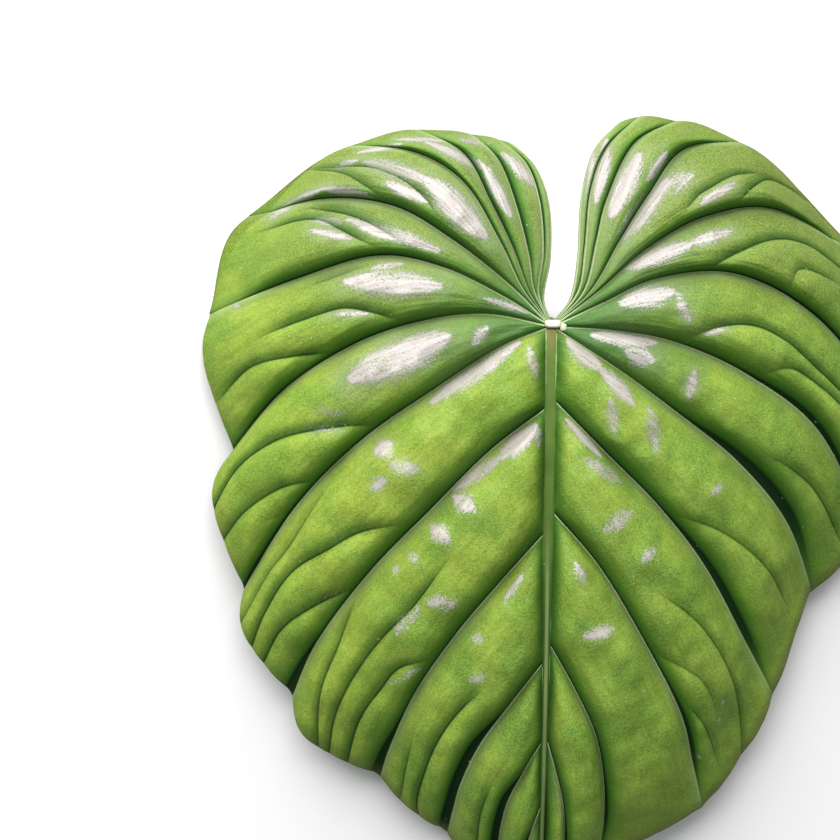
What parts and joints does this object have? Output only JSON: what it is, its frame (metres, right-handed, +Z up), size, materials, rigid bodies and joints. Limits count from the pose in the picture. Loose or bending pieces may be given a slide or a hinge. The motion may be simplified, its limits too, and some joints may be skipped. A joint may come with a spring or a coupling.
{
  "type": "philodendron leaf",
  "caption": "Large heart-shaped philodendron leaf lying face up, its glossy blade deeply pleated along the side veins, with a midrib and a short cut stalk.",
  "frame": {"origin": "on the surface that the leaf lies on, under the middle of its bounding box", "axes": "+Z up from the surface, -Y towards the leaf's tip, +Y towards its two lobes, X across the blade"},
  "size_m": [0.3119, 0.3623, 0.066],
  "materials": {
    "leaf_green": "glossy"
  },
  "bodies": {
    "root": {"leaf": "leaf_green"}
  },
  "joints": []
}
